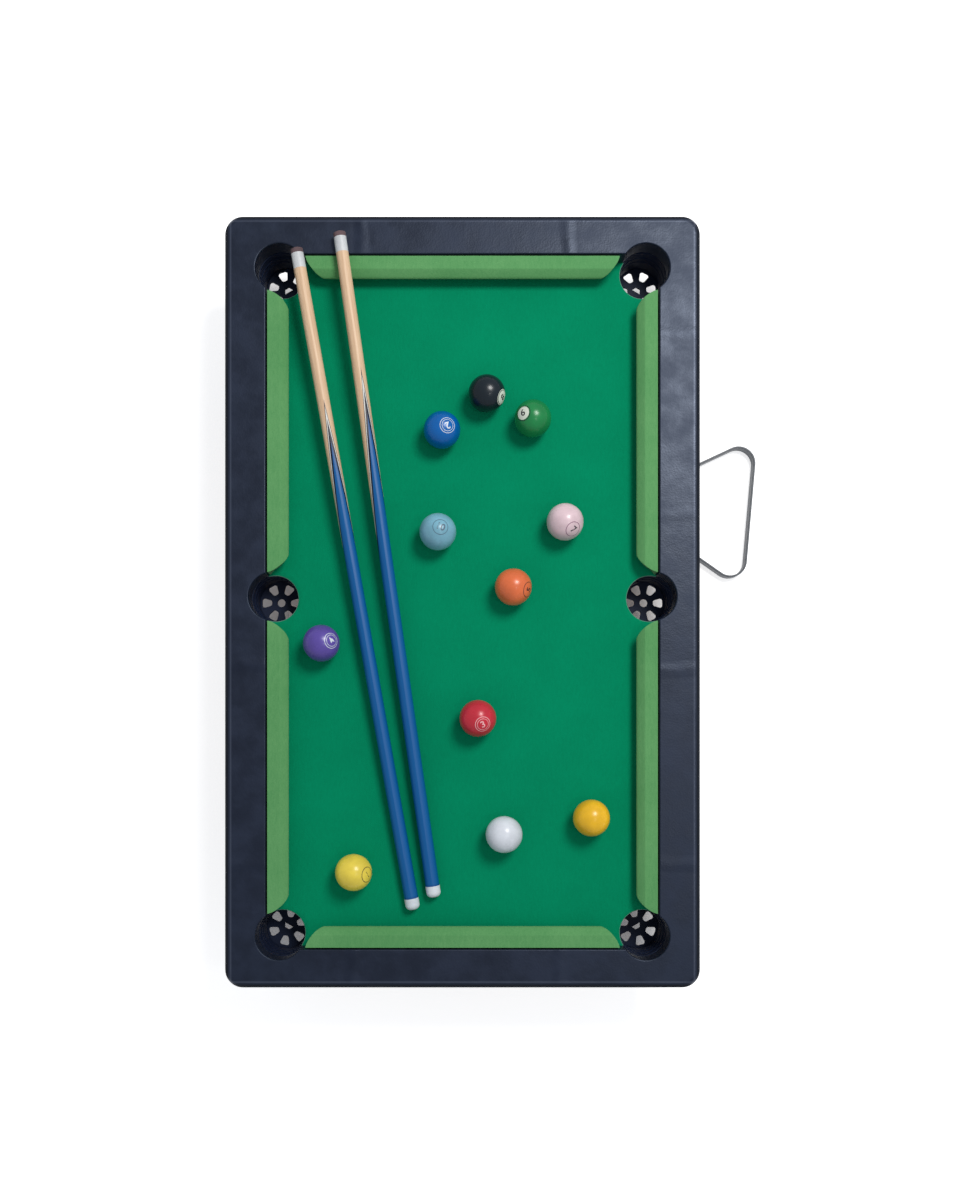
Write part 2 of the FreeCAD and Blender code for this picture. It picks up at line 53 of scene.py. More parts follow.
class Wire:
    # one socket of a shader tree; sums on it add Math nodes
    def __init__(self, tree, socket=None):
        self.tree = tree
        self.socket = socket

    def add(self, kind, settings=None, sockets=None, out=0):
        node = self.tree.nodes.new("ShaderNode" + kind)
        for name, value in (settings or {}).items():
            setattr(node, name, value)
        for key, value in (sockets or {}).items():
            if isinstance(value, Wire):
                self.tree.links.new(value.socket, node.inputs[key])
            else:
                node.inputs[key].default_value = value
        return Wire(self.tree, node.outputs[out])

    def maths(self, operation, *values):
        return self.add("Math", {"operation": operation}, dict(enumerate(values)))

    def __add__(self, other):
        return self.maths("ADD", self, other)

    def __sub__(self, other):
        return self.maths("SUBTRACT", self, other)

    def __rsub__(self, other):
        return self.maths("SUBTRACT", other, self)

    def __mul__(self, other):
        return self.maths("MULTIPLY", self, other)

    def __truediv__(self, other):
        return self.maths("DIVIDE", self, other)

    def __rtruediv__(self, other):
        return self.maths("DIVIDE", other, self)

    def __abs__(self):
        return self.maths("ABSOLUTE", self)

    __radd__ = __add__
    __rmul__ = __mul__

    def above(self, limit):
        return self.maths("GREATER_THAN", self, limit)

    def below(self, limit):
        return self.maths("LESS_THAN", self, limit)

    def most(self, other):
        return self.maths("MAXIMUM", self, other)

    def least(self, other):
        return self.maths("MINIMUM", self, other)

    def ease(self, low, high):
        # 0 below low, 1 above high, smooth between
        return self.add("MapRange", {"interpolation_type": "SMOOTHSTEP"},
                        {"Value": self, "From Min": low, "From Max": high})

    def blend(self, first, second):
        # colour mix with this wire as the factor
        return self.add("Mix", {"data_type": "RGBA"}, {0: self, 6: first, 7: second}, out=2)

    def vector(self, operation, other, out=0):
        return self.add("VectorMath", {"operation": operation}, {0: self, 1: other}, out)

    def split(self):
        return [self.add("SeparateXYZ", {}, {0: self}, out=n) for n in range(3)]

    def cloud(self, scale, detail=2.0, rough=0.5):
        return self.add("TexNoise", {}, {"Vector": self, "Scale": scale, "Detail": detail,
                                         "Roughness": rough})

    def bump(self, strength, distance, under=None):
        sockets = {"Strength": strength, "Distance": distance, "Height": self}
        if under:
            sockets["Normal"] = under
        return self.add("Bump", {}, sockets)


def newMaterial(name, fixed, paint):
    # fixed: values that are the same all over; paint(place) gives what varies
    made = bpy.data.materials.new(name)
    made.use_nodes = True
    tree = made.node_tree
    shader = tree.nodes["Principled BSDF"]
    for socket, value in fixed.items():
        shader.inputs[socket].default_value = value
    place = Wire(tree).add("TexCoord", out="Object")
    for socket, wire in paint(place).items():
        tree.links.new(wire.socket, shader.inputs[socket])
    return made


# ---- camera: straight down, standing a little towards the near end, lens shifted to frame the set
cameraPlan = {"place": (0.0, -0.0886, 0.847), "lens": 34.64, "shift": (0.01458, 0.115)}
cameraData = bpy.data.cameras.new("topCamera")
cameraData.lens = cameraPlan["lens"]
cameraData.shift_x, cameraData.shift_y = cameraPlan["shift"]
camera = bpy.data.objects.new("topCamera", cameraData)
camera.location = cameraPlan["place"]
bpy.context.scene.collection.objects.link(camera)
bpy.context.scene.camera = camera
bpy.context.scene.view_settings.view_transform = "Standard"

# ---- studio light
lightPlan = {
    "middle": (0.0, 0.0, 0.09),
    "key": {"way": (0.34, 0.40, 0.85), "away": 1.3, "size": 0.46, "power": 11.0,
            "colour": (1.0, 0.985, 0.96)},
    "low": {"way": (0.34, -0.20, 0.92), "away": 1.3, "size": 0.16, "power": 0.7,
            "colour": (1.0, 1.0, 1.0)},
    "sky": (0.83, 0.86, 0.90), "skyPower": 0.46,
}


def addLight(name, plan):
    data = bpy.data.lights.new(name, "AREA")
    data.shape = "DISK"
    data.size, data.energy, data.color = plan["size"], plan["power"], plan["colour"]
    lamp = bpy.data.objects.new(name, data)
    way = Vector(plan["way"]).normalized()
    lamp.location = Vector(lightPlan["middle"]) + way * plan["away"]
    lamp.rotation_mode = "QUATERNION"
    lamp.rotation_quaternion = (-way).to_track_quat("-Z", "Y")
    bpy.context.scene.collection.objects.link(lamp)


addLight("keyLight", lightPlan["key"])
addLight("lowLight", lightPlan["low"])
world = bpy.data.worlds.new("studio")
bpy.context.scene.world = world
world.use_nodes = True
sky = world.node_tree.nodes["Background"]
sky.inputs["Color"].default_value = (*lightPlan["sky"], 1)
sky.inputs["Strength"].default_value = lightPlan["skyPower"]

floorPlan = {"reach": 20.0, "below": 0.0001, "light": tint(250, 250, 251),
             "dark": tint(244, 244, 246), "glow": 0.65, "glowFrom": -0.014, "glowFull": 0.004}


def paintFloor(place):
    # lit from below like a light table, except under the set itself
    x, y = place.split()[:2]
    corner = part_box("rail_frame")[1]
    beyond = (abs(x) - corner.x).most(abs(y) - corner.y)
    glow = beyond.ease(floorPlan["glowFrom"], floorPlan["glowFull"])
    return {"Base Color": place.cloud(6.0).blend(floorPlan["light"], floorPlan["dark"]),
            "Emission Color": glow.blend((0, 0, 0, 1), (1, 1, 1, 1))}


floorMesh = bpy.data.meshes.new("studioFloor")
r = floorPlan["reach"]
floorMesh.from_pydata([(-r, -r, -floorPlan["below"]), (r, -r, -floorPlan["below"]),
                       (r, r, -floorPlan["below"]), (-r, r, -floorPlan["below"])],
                      [], [(0, 1, 2, 3)])
floor = bpy.data.objects.new("studioFloor", floorMesh)
floorMesh.materials.append(newMaterial(
    "floorPaper", {"Roughness": 0.9, "Emission Strength": floorPlan["glow"]}, paintFloor))
bpy.context.scene.collection.objects.link(floor)
print("camera, lights and floor ready")


def newPiece(name, mesh, material, body, smooth=True):
    piece = bpy.data.objects.new(name, mesh)
    bpy.context.scene.collection.objects.link(piece)
    mesh.materials.append(material)
    if smooth:
        mesh.polygons.foreach_set("use_smooth", [True] * len(mesh.polygons))
    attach(piece, body)
    return piece


def dress(name, material):
    # better finish on a CAD node that keeps its shape
    for holder in nodes[name].material_slots:
        holder.material = material


def middleOf(name):
    low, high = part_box(name)
    return (low + high) / 2


# ---- moulded rail frame
framePlan = {
    "dark": tint(11, 17, 32), "light": tint(27, 35, 54), "pebble": 820,
    "creaseWide": 0.006, "creaseWander": 0.012, "endRail": 0.226, "sideRail": 0.128,
    # strength of each crease by its place along the rail, on the + and - sides
    "endCreases": {1: {-66.6: 1.0, 67.9: 1.0}, -1: {-73.0: 1.0, 63.4: 1.0}},
    "sideCreases": {1: {175: 0.8, 56: 0.35, -44.4: 0.8, -171: 0.8}, -1: {-41: 1.0, -171: 1.0}},
    # edge: painted shade on the rounded outer edge; fold: painted highlight line beside it
    "edge": tint(8, 11, 18), "edgeWide": 0.0066, "edgeDeep": 0.0040, "edgeSoft": 0.0008,
    "fold": tint(66, 72, 88), "foldAt": 0.0078, "foldWide": 0.0010,
}


def paintFrame(place):
    x, y, z = place.split()
    wander = (place.cloud(14.0, 3.0) - 0.5) * framePlan["creaseWander"]
    # shallow pulls in the wrap where it was stretched over the rails
    pulls = None
    for creases, along, across, edge in (
        (framePlan["endCreases"], x, y, framePlan["endRail"]),
        (framePlan["sideCreases"], y, x, framePlan["sideRail"]),
    ):
        for side, stations in creases.items():
            onRail = (across * side).above(edge)
            for station, strength in stations.items():
                away = abs(along - station * mm + wander)
                pull = (1 - away.ease(0.0, framePlan["creaseWide"])) * onRail * strength
                pulls = pull if pulls is None else pulls + pull
    cells = place.add("TexVoronoi", {"feature": "SMOOTH_F1"},
                      {"Vector": place, "Scale": framePlan["pebble"], "Smoothness": 0.4,
                       "Randomness": 1.0})
    skin = cells + place.cloud(2600, 3.0) * 0.5
    mottle = place.cloud(55, 4.0, 0.62).ease(0.30, 0.72)
    broad = place.cloud(9, 2.0)
    roughness = 0.34 + 0.13 * mottle + 0.05 * broad - 0.05 * pulls
    normal = pulls.bump(0.4, 0.0008)
    normal = place.cloud(60, 3.0, 0.55).bump(0.35, 0.0007, normal)
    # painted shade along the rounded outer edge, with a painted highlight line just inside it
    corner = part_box("rail_frame")[1]
    gap = (corner.x - abs(x)).least(corner.y - abs(y))
    fold = 1 - abs(gap - framePlan["foldAt"]).ease(0.0, framePlan["foldWide"])
    outer = 1 - gap.ease(framePlan["edgeWide"] - framePlan["edgeSoft"], framePlan["edgeWide"])
    turned = outer * z.above(corner.z - framePlan["edgeDeep"])
    colour = (mottle * 0.6 + broad * 0.4).blend(framePlan["dark"], framePlan["light"])
    # painted highlight: the fold colour is a light line where the edge's rounding catches the light
    colour = (fold * 0.7).blend(colour, framePlan["fold"])
    # painted shade: the outer band takes the dark edge colour
    return {
        "Base Color": turned.blend(colour, framePlan["edge"]),
        "Roughness": roughness + 0.5 * turned - 0.08 * fold,
        "Normal": skin.bump(0.22, 0.00018, normal),
    }


dress("rail_frame", newMaterial("grainedWrap", {"Specular IOR Level": 0.5,
                                                "Specular Tint": tint(214, 228, 255)}, paintFrame))

# ---- felt bed
bedPlan = {
    "cell": 2.4, "bore": 15.6, "collar": 0.45, "lip": 0.45, "roll": 0.5, "drop": 0.5, "tuck": 0.6,
    "dip": 0.05, "openX": 128.5, "openY": 226.5, "cutFrom": 0.2,
    "green": tint(0, 141, 99), "deep": tint(0, 128, 89), "cutEdge": tint(112, 160, 144),
}
pocketBore = bedPlan["bore"] * mm
clothLow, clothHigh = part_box("bed_cloth")
pocketSpots = [middleOf(n) for n in nodes if n.startswith("pocket_cup")]


def paintFelt(light, dark, cut=None, cutBelow=0.0):
    def paint(place):
        fibre = place.cloud(2300, 3.0, 0.6)
        nap = place.add("Mapping", {}, {"Vector": place, "Scale": (1.0, 0.25, 1.0)})
        streak = nap.cloud(900, 2.0)
        patch = place.cloud(26, 3.0, 0.55)
        shade = fibre * 0.5 + streak * 0.25 + patch * 0.35
        colour = shade.ease(0.34, 0.78).blend(dark, light)
        if cut:
            colour = place.split()[2].below(cutBelow).blend(colour, cut)
        normal = patch.bump(0.15, 0.0006)
        return {"Base Color": colour, "Normal": (fibre + streak * 0.6).bump(0.5, 0.00025, normal)}
    return paint


feltFixed = {"Roughness": 0.95, "Sheen Weight": 0.10, "Sheen Roughness": 0.45,
             "Specular IOR Level": 0.05}


def buildBed():
    low, high = clothLow, clothHigh
    cell = bedPlan["cell"] * mm
    collar = pocketBore + bedPlan["collar"] * cell
    columns = round((high.x - low.x) / cell)
    rows = round((high.y - low.y) / cell)
    mesh = bmesh.new()
    grid = [[mesh.verts.new((low.x + (high.x - low.x) * i / columns,
                             low.y + (high.y - low.y) * j / rows, high.z))
             for i in range(columns + 1)] for j in range(rows + 1)]
    centres = [spot.xy for spot in pocketSpots]
    for j in range(rows):
        for i in range(columns):
            corners = [grid[j][i], grid[j][i + 1], grid[j + 1][i + 1], grid[j + 1][i]]
            middle = sum((v.co.xy for v in corners), Vector((0, 0))) / 4
            if all((middle - c).length > pocketBore + 0.1 * cell for c in centres):
                mesh.faces.new(corners)
    for vert in [v for v in mesh.verts if not v.link_faces]:
        mesh.verts.remove(vert)
    # pull the stepped rim of every hole on to its circle
    for vert in mesh.verts:
        for c in centres:
            out = vert.co.xy - c
            if vert.is_boundary and out.length < pocketBore + 1.6 * cell:
                vert.co.xy = c + out.normalized() * pocketBore
            elif out.length < collar:
                vert.co.xy = c + out.normalized() * collar
    # cut edge, rolled a little at the top
    for drop, inward in ((bedPlan["lip"] * mm, bedPlan["roll"] * mm),
                         (bedPlan["drop"] * mm, 0.0)):
        rim = [e for e in mesh.edges if e.is_boundary]
        made = bmesh.ops.extrude_edge_only(mesh, edges=rim)
        for vert in [g for g in made["geom"] if isinstance(g, bmesh.types.BMVert)]:
            vert.co.z -= drop
            for c in centres:
                out = vert.co.xy - c
                if out.length < pocketBore + cell:
                    vert.co.xy = c + out.normalized() * (out.length - inward)
    # under the frame the rim stands back from the holes
    for vert in mesh.verts:
        for c in centres:
            out = vert.co.xy - c
            hidden = (abs(vert.co.x) > bedPlan["openX"] * mm
                      or abs(vert.co.y) > bedPlan["openY"] * mm)
            if hidden and out.length < pocketBore + bedPlan["tuck"] * mm / 2:
                vert.co.xy = c + out.normalized() * (pocketBore + bedPlan["tuck"] * mm)
        if vert.co.z > high.z - 0.01 * mm:
            vert.co.z -= bedPlan["dip"] * mm * (1 + noise.noise(vert.co * 45))
    data = bpy.data.meshes.new("feltBed")
    mesh.to_mesh(data)
    mesh.free()
    return data


bedFelt = newMaterial("bedFelt", feltFixed, paintFelt(
    bedPlan["green"], bedPlan["deep"], bedPlan["cutEdge"],
    clothHigh.z - bedPlan["cutFrom"] * mm))
feltBed = newPiece("feltBed", buildBed(), bedFelt, "table")
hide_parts("bed_cloth")
clothSize = clothHigh - clothLow
holeArea = len(pocketSpots) * math.pi * pocketBore ** 2
clothSize.x * clothSize.y - holeArea
print("felt bed stretched:", len(feltBed.data.polygons), "faces")

# ---- cushions: rubber wedges wrapped in felt
cushionPlan = {
    "flat": 8.2, "hollow": 0.10, "noseTop": 9.9, "noseLow": 8.9, "noseFall": 1.15,
    "noseRound": 1.2, "noseDrop": 0.75, "undercut": 6.5, "bevel": 9.4, "swell": 1.6,
    "turn": 2.6, "turnFrom": 0.7, "lean": 2.8, "step": 2.5, "dent": 0.07,
    "stations": (0, 0.9, 2.6, 4.6, 6.6, 7.8, 8.2, 8.6, 9.4, 10.4, 11.3, 12.0, 12.5, 12.9, 13.2,
                 13.4),
    "light": tint(106, 165, 106), "dark": tint(84, 147, 90),
    "facing": {"cushion_end_far": (0, -1), "cushion_end_near": (0, 1),
               "cushion_right_far": (-1, 0), "cushion_right_near": (-1, 0),
               "cushion_left_far": (1, 0), "cushion_left_near": (1, 0)},
}


def cushionTop(v, wide, tall):
    # height of the top skin at distance v from the back
    flat = cushionPlan["flat"] * mm
    if v < flat:
        top = tall - cushionPlan["hollow"] * mm * (1 - (2 * v / flat - 1) ** 2)
    else:
        share = (v - flat) / (wide - flat)
        top = tall + (cushionPlan["noseTop"] * mm - tall) * share ** cushionPlan["noseFall"]
    close = (wide - v) / (cushionPlan["noseRound"] * mm)
    if close < 1:
        top -= cushionPlan["noseDrop"] * mm * (1 - math.sqrt(max(0.0, 1 - (1 - close) ** 2)))
    return top


def cushionUnder(v, wide):
    # height of the underside, cut back towards the nose
    start = cushionPlan["undercut"] * mm
    if v < start:
        return 0.0
    return cushionPlan["noseLow"] * mm * (v - start) / (wide - start)


def endInset(v, wide):
    # how far the end stands in from the back corner at distance v from the back
    share = v / wide
    inset = cushionPlan["bevel"] * mm * share ** cushionPlan["swell"]
    # the last of it turns round into the nose
    late = max(0.0, (share - cushionPlan["turnFrom"]) / (1 - cushionPlan["turnFrom"]))
    return inset + cushionPlan["turn"] * mm * (1 - math.sqrt(max(0.0, 1 - late ** 2)))


def buildCushion(name):
    low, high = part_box(name)
    facing = Vector((*cushionPlan["facing"][name], 0))
    along = Vector((abs(facing.y), abs(facing.x), 0))
    size = high - low
    wide, length, tall = abs(size.dot(facing)), size.dot(along), size.z
    start = Vector((high.x if facing.x < 0 else low.x, high.y if facing.y < 0 else low.y, low.z))
    full = cushionPlan["stations"][-1]
    stations = [s * wide / full for s in cushionPlan["stations"]]
    columns = max(8, round(length / (cushionPlan["step"] * mm)))
    mesh = bmesh.new()

    def ring(height):
        rows = []
        for v in stations:
            inset = endInset(v, wide)
            if height is under:    # the ends lean back below
                inset += min(cushionPlan["lean"] * mm, v)
            row = []
            for i in range(columns + 1):
                s = inset + (length - 2 * inset) * i / columns
                spot = start + along * s + facing * v
                lift = height(v)
                if height is top:
                    lift -= cushionPlan["dent"] * mm * (1 + noise.noise(spot * 90))
                row.append(mesh.verts.new((spot.x, spot.y, low.z + lift)))
            rows.append(row)
        return rows

    def top(v):
        return cushionTop(v, wide, tall)

    def under(v):
        return cushionUnder(v, wide)

    upper, lower = ring(top), ring(under)
    for rows, flip in ((upper, False), (lower, True)):
        for a, b in zip(rows, rows[1:]):
            for i in range(columns):
                face = [a[i], a[i + 1], b[i + 1], b[i]]
                mesh.faces.new(face[::-1] if flip else face)
    for i in range(columns):    # back and nose
        mesh.faces.new([lower[0][i], lower[0][i + 1], upper[0][i + 1], upper[0][i]])
        mesh.faces.new([upper[-1][i], upper[-1][i + 1], lower[-1][i + 1], lower[-1][i]])
    for i, flip in ((0, False), (columns, True)):    # slanted ends
        for n in range(len(stations) - 1):
            face = [upper[n][i], upper[n + 1][i], lower[n + 1][i], lower[n][i]]
            mesh.faces.new(face[::-1] if flip else face)
    bmesh.ops.recalc_face_normals(mesh, faces=mesh.faces)
    data = bpy.data.meshes.new(name)
    mesh.to_mesh(data)
    mesh.free()
    return data


cushionFelt = newMaterial("cushionFelt", feltFixed,
                          paintFelt(cushionPlan["light"], cushionPlan["dark"]))
for name in cushionPlan["facing"]:
    words = name.split("_")
    label = words[0] + "".join(w.capitalize() for w in words[1:])
    cushion = newPiece(label, buildCushion(name), cushionFelt, "table")
    edging = cushion.modifiers.new("foldedEdge", "BEVEL")
    edging.width, edging.segments = 0.45 * mm, 3
    edging.limit_method, edging.angle_limit = "ANGLE", math.radians(42)
    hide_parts(name)
print("cushions wrapped")

# ---- pocket cups, rack, underframe
plainPlan = {
    "pocketPlastic": {"first": tint(10, 21, 46), "second": tint(15, 31, 60), "grain": 900,
                      "rough": 0.62, "deep": 0.00008, "fixed": {"Specular IOR Level": 0.3}},
    "rackPlastic": {"first": tint(62, 68, 76), "second": tint(76, 82, 90), "grain": 1300,
                    "rough": 0.42, "deep": 0.00006, "fixed": {}},
    "footRubber": {"first": tint(26, 26, 28), "second": tint(38, 38, 40), "grain": 1500,
                   "rough": 0.85, "deep": 0.00012, "fixed": {}},
    "screwZinc": {"first": tint(168, 170, 174), "second": tint(196, 198, 202), "grain": 2200,
                  "rough": 0.32, "deep": 0.00004, "fixed": {"Metallic": 1.0}},
    "cueLeather": {"first": tint(84, 66, 70), "second": tint(110, 88, 92), "grain": 2600,
                   "rough": 0.88, "deep": 0.00012, "fixed": {}},
    "cueFerrule": {"first": tint(192, 196, 200), "second": tint(210, 212, 214), "grain": 700,
                   "rough": 0.42, "deep": 0.00003, "fixed": {"Coat Weight": 0.1}},
    "cueRubber": {"first": tint(208, 214, 222), "second": tint(226, 230, 236), "grain": 900,
                  "rough": 0.55, "deep": 0.00005, "fixed": {"Subsurface Weight": 0.05}},
}


def plainMaterial(name):
    plan = plainPlan[name]

    def paint(place):
        grain = place.cloud(plan["grain"], 3.0, 0.6)
        wear = place.cloud(plan["grain"] / 18, 3.0, 0.6)
        return {"Base Color": (grain * 0.4 + wear * 0.6).ease(0.3, 0.7).blend(plan["first"],
                                                                              plan["second"]),
                "Roughness": plan["rough"] - 0.06 + 0.14 * wear,
                "Normal": (grain + wear * 0.6).bump(0.5, plan["deep"])}
    return newMaterial(name, plan["fixed"], paint)


woodPlan = {
    "apronFoil": {"first": tint(38, 42, 54), "second": tint(50, 54, 66), "rough": 0.46,
                  "stretch": (1.0, 0.06, 1.0), "scale": 420, "deep": 0.00008},
    "apronFoilAcross": {"first": tint(38, 42, 54), "second": tint(50, 54, 66), "rough": 0.46,
                        "stretch": (0.06, 1.0, 1.0), "scale": 420, "deep": 0.00008},
    "legLacquer": {"first": tint(34, 37, 48), "second": tint(48, 51, 63), "rough": 0.34,
                   "stretch": (1.0, 1.0, 0.06), "scale": 520, "deep": 0.00008},
    "blockPine": {"first": tint(176, 138, 92), "second": tint(212, 178, 132), "rough": 0.7,
                  "stretch": (1.0, 1.0, 0.08), "scale": 380, "deep": 0.00015},
    "fibreboard": {"first": tint(134, 104, 74), "second": tint(164, 130, 96), "rough": 0.82,
                   "stretch": (1.0, 1.0, 1.0), "scale": 1100, "deep": 0.00012,
                   # painted shade colour and its reach round the pocket holes
                   "stain": tint(8, 15, 34), "stainOut": 17.5},
}


def woodMaterial(name):
    plan = woodPlan[name]

    def paint(place):
        laid = place.add("Mapping", {}, {"Vector": place, "Scale": plan["stretch"]})
        figure = laid.cloud(plan["scale"] / 5, 4.0, 0.6)
        pores = laid.cloud(plan["scale"] * 2.5, 3.0, 0.65)
        colour = (figure * 0.6 + pores * 0.4).ease(0.34, 0.68).blend(plan["first"],
                                                                     plan["second"])
        if plan.get("stain"):    # painted shade: the board round the pocket holes is painted dark, as shade in the bores
            x, y = place.split()[:2]
            for spot in pocketSpots:
                outX, outY = x - spot.x, y - spot.y
                square = outX * outX + outY * outY
                colour = square.above((plan["stainOut"] * mm) ** 2).blend(plan["stain"], colour)
        return {"Base Color": colour,
                "Roughness": plan["rough"] - 0.05 + 0.12 * pores,
                "Normal": (figure + pores).bump(0.5, plan["deep"])}
    return newMaterial(name, {}, paint)


finishes = {n: plainMaterial(n) for n in plainPlan} | {n: woodMaterial(n) for n in woodPlan}
startsWith = {
    "pocket_cup": "pocketPlastic", "triangle_rack": "rackPlastic", "foot_pad": "footRubber",
    "leg_block": "blockPine", "leg_bolts": "screwZinc", "cup_screws": "screwZinc",
    "frame_screws": "screwZinc", "bed_board": "fibreboard", "apron_left": "apronFoil",
    "apron_right": "apronFoil", "apron_": "apronFoilAcross", "leg_": "legLacquer",
}
for name in nodes:
    match = next((f for start, f in startsWith.items() if name.startswith(start)), None)
    if match:
        dress(name, finishes[match])

# ---- cue sticks, painted by distance in mm from the middle of the leather tip
cuePlan = {"left": {"turn": 8, "start": 97.0}, "right": {"turn": 22, "start": 86.0}}
splicePlan = {"points": 2, "end": 184.0, "round": 4.3, "groove": 4.8,
              "lines": (0.0, 0.35, 0.95, 2.1), "fade": 50.0,
              "blue": tint(0, 98, 164), "blueDeep": tint(0, 80, 144), "navy": tint(12, 20, 44),
              "white": tint(214, 214, 208), "wood": tint(231, 199, 165),
              "woodDark": tint(209, 172, 138)}


def paintCue(side):
    tip, bumper = middleOf("cue_%s_tip" % side), middleOf("cue_%s_bumper" % side)
    way = (bumper - tip).normalized()
    across = way.cross(Vector((0, 0, 1))).normalized()
    upward = across.cross(way)
    turn, start = math.radians(cuePlan[side]["turn"]), cuePlan[side]["start"]
    groove = (bumper - tip).length / mm - splicePlan["groove"]

    def paint(place):
        spot = place.vector("SUBTRACT", tuple(tip))
        station = spot.vector("DOT_PRODUCT", tuple(way), out="Value") * 1000
        sideways = spot.vector("DOT_PRODUCT", tuple(across), out="Value")
        height = spot.vector("DOT_PRODUCT", tuple(upward), out="Value")
        angle = abs(sideways.maths("ARCTAN2", sideways, height) + turn)
        # 0 on the middle line of a point, 1 in the valley between two points
        fold = angle * (splicePlan["points"] / math.pi)
        fold = abs(fold - 2 * (fold / 2).maths("ROUND", fold / 2))
        reach = splicePlan["end"] - start
        edge = start + reach * fold
        slope = reach * splicePlan["points"] / (math.pi * splicePlan["round"])
        depth = (station - edge) / math.sqrt(1 + slope ** 2)    # mm inside the point's outline
        # grain of the wood along the stick
        turned = place.add("CombineXYZ", {}, {0: sideways * 1000, 1: height * 1000,
                                              2: station * 0.035})
        figure = turned.cloud(0.9, 4.0, 0.6)
        pores = turned.cloud(4.5, 3.0, 0.7)
        wood = (figure * 0.65 + pores * 0.35).ease(0.3, 0.7).blend(splicePlan["woodDark"],
                                                                   splicePlan["wood"])
        blue = (figure * 0.5 + pores * 0.5).blend(splicePlan["blueDeep"], splicePlan["blue"])
        # the points start dark and turn blue further down
        core = station.ease(start, start + splicePlan["fade"])
        blue = core.blend(splicePlan["navy"], blue)
        colour = wood
        for limit, band in zip(splicePlan["lines"], (splicePlan["navy"], splicePlan["white"],
                                                     splicePlan["navy"], blue)):
            colour = depth.above(limit).blend(colour, band)
        # painted shade: the last few mm before the bumper are painted deep blue as the groove's
        # shade
        colour = station.above(groove).blend(colour, splicePlan["blueDeep"])
        return {"Base Color": colour, "Roughness": 0.40 + 0.12 * figure,
                "Normal": (figure + pores * 0.5).bump(0.25, 0.00004)}
    return paint


for side in cuePlan:
    lacquer = newMaterial("cueLacquer" + side.capitalize(),
                          {"Specular IOR Level": 0.32, "Coat Weight": 0.06, "Coat Roughness": 0.25},
                          paintCue(side))
    for part, material in (("shaft", lacquer), ("butt", lacquer),
                           ("tip", finishes["cueLeather"]), ("ferrule", finishes["cueFerrule"]),
                           ("bumper", finishes["cueRubber"])):
        dress("cue_%s_%s" % (side, part), material)
print("cues painted")

# ---- balls: colours as screen colours, each print laid round the direction way
ballPlan = {
    "black": {"colour": (20, 32, 42), "number": "8", "way": (0.86, -0.33, 0.39), "spin": 70,
              "ink": "dark", "rings": 1, "ringInk": "cream", "disc": "cream"},
    "blue": {"colour": (2, 98, 178), "number": "2", "way": (0.33, 0.02, 0.95), "spin": 200,
             "ink": "white", "rings": 2, "ringInk": "white"},
    "green": {"colour": (30, 136, 74), "number": "6", "way": (-0.59, 0.08, 0.81), "spin": 20,
              "ink": "dark", "rings": 1, "ringInk": "dark", "disc": "cream"},
    "light_blue": {"colour": (128, 184, 206), "number": "10", "way": (0.17, 0.10, 0.98),
                   "spin": -20, "ink": "slate", "rings": 1, "ringInk": "slate"},
    "pink": {"colour": (236, 208, 216), "number": "7", "way": (0.39, -0.55, 0.74), "spin": -30,
             "ink": "dark", "rings": 1, "ringInk": "mauve"},
    "orange": {"colour": (240, 120, 72), "number": "5", "way": (0.82, -0.22, 0.53), "spin": 80,
               "ink": "dark", "rings": 1, "ringInk": "dark"},
    "purple": {"colour": (98, 80, 170), "number": "4", "way": (0.65, 0.08, 0.75), "spin": 60,
               "ink": "white", "rings": 2, "ringInk": "white"},
    "red": {"colour": (212, 48, 66), "number": "3", "way": (0.27, -0.35, 0.90), "spin": 30,
            "ink": "rose", "rings": 2, "ringInk": "rose"},
    "white": {"colour": (226, 231, 240)},
    "amber": {"colour": (252, 196, 40), "number": "9", "way": (-0.30, -0.60, -0.74), "spin": 0,
              "ink": "dark", "rings": 1, "ringInk": "dark"},
    "yellow": {"colour": (252, 226, 84), "number": "1", "way": (0.83, -0.06, 0.56), "spin": 40,
               "ink": "dark", "rings": 1, "ringInk": "dark"},
}
printPlan = {
    "disc": 4.4, "discFrom": 0.01, "rings": ((4.85, 5.25), (3.6, 3.9)), "digit": 4.6,
    "bodySize": 1.35, "swell": 0.025, "finest": 0.6, "lift": 0.02,
    "inks": {
        "white": ((206, 216, 226), (226, 232, 238)), "dark": ((26, 28, 34), (44, 46, 54)),
        "rose": ((238, 170, 174), (246, 190, 192)), "slate": ((66, 88, 108), (88, 110, 128)),
        "mauve": ((120, 74, 104), (148, 100, 128)), "cream": ((206, 214, 200), (222, 228, 214)),
    },
}


def buildBall(name, centre, radius):
    # sphere with even faces, from a cube
    mesh = bmesh.new()
    bmesh.ops.create_cube(mesh, size=2.0)
    bmesh.ops.subdivide_edges(mesh, edges=mesh.edges[:], cuts=19, use_grid_fill=True)
    for vert in mesh.verts:
        x, y, z = vert.co
        vert.co = Vector((x * math.sqrt(1 - y * y / 2 - z * z / 2 + y * y * z * z / 3),
                          y * math.sqrt(1 - z * z / 2 - x * x / 2 + z * z * x * x / 3),
                          z * math.sqrt(1 - x * x / 2 - y * y / 2 + x * x * y * y / 3)))
        vert.co = centre + vert.co.normalized() * radius
    data = bpy.data.meshes.new(name)
    mesh.to_mesh(data)
    mesh.free()
    return data


